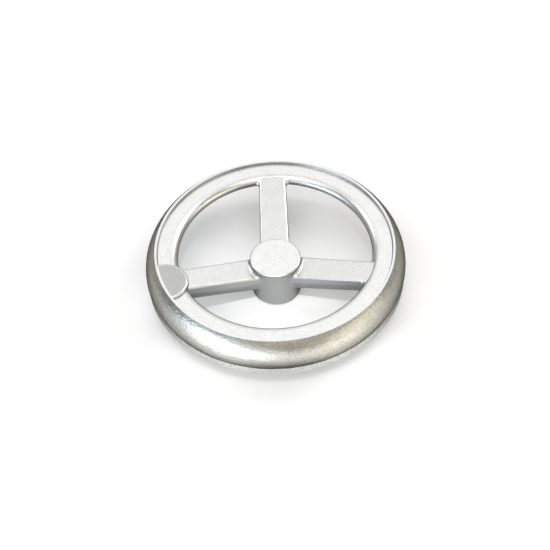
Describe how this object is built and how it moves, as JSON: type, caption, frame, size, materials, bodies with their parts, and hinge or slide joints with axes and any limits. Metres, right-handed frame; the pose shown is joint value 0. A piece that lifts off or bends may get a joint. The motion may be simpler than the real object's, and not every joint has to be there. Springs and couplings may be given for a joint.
{
  "type": "machine handwheel",
  "caption": "Cast handwheel with straight spokes, a stepped rim open at the back, a blind-bored hub and a bare pad for a crank handle.",
  "frame": {"origin": "centre of the hub's back face, on the axis of the bore", "axes": "+Z along the shaft and out of the wheel's front, +Y along the back spoke"},
  "size_m": [0.2, 0.2, 0.0452],
  "materials": {
    "cast_metal": "matte, blasted"
  },
  "bodies": {
    "root": {"handwheel": "cast_metal"}
  },
  "joints": []
}
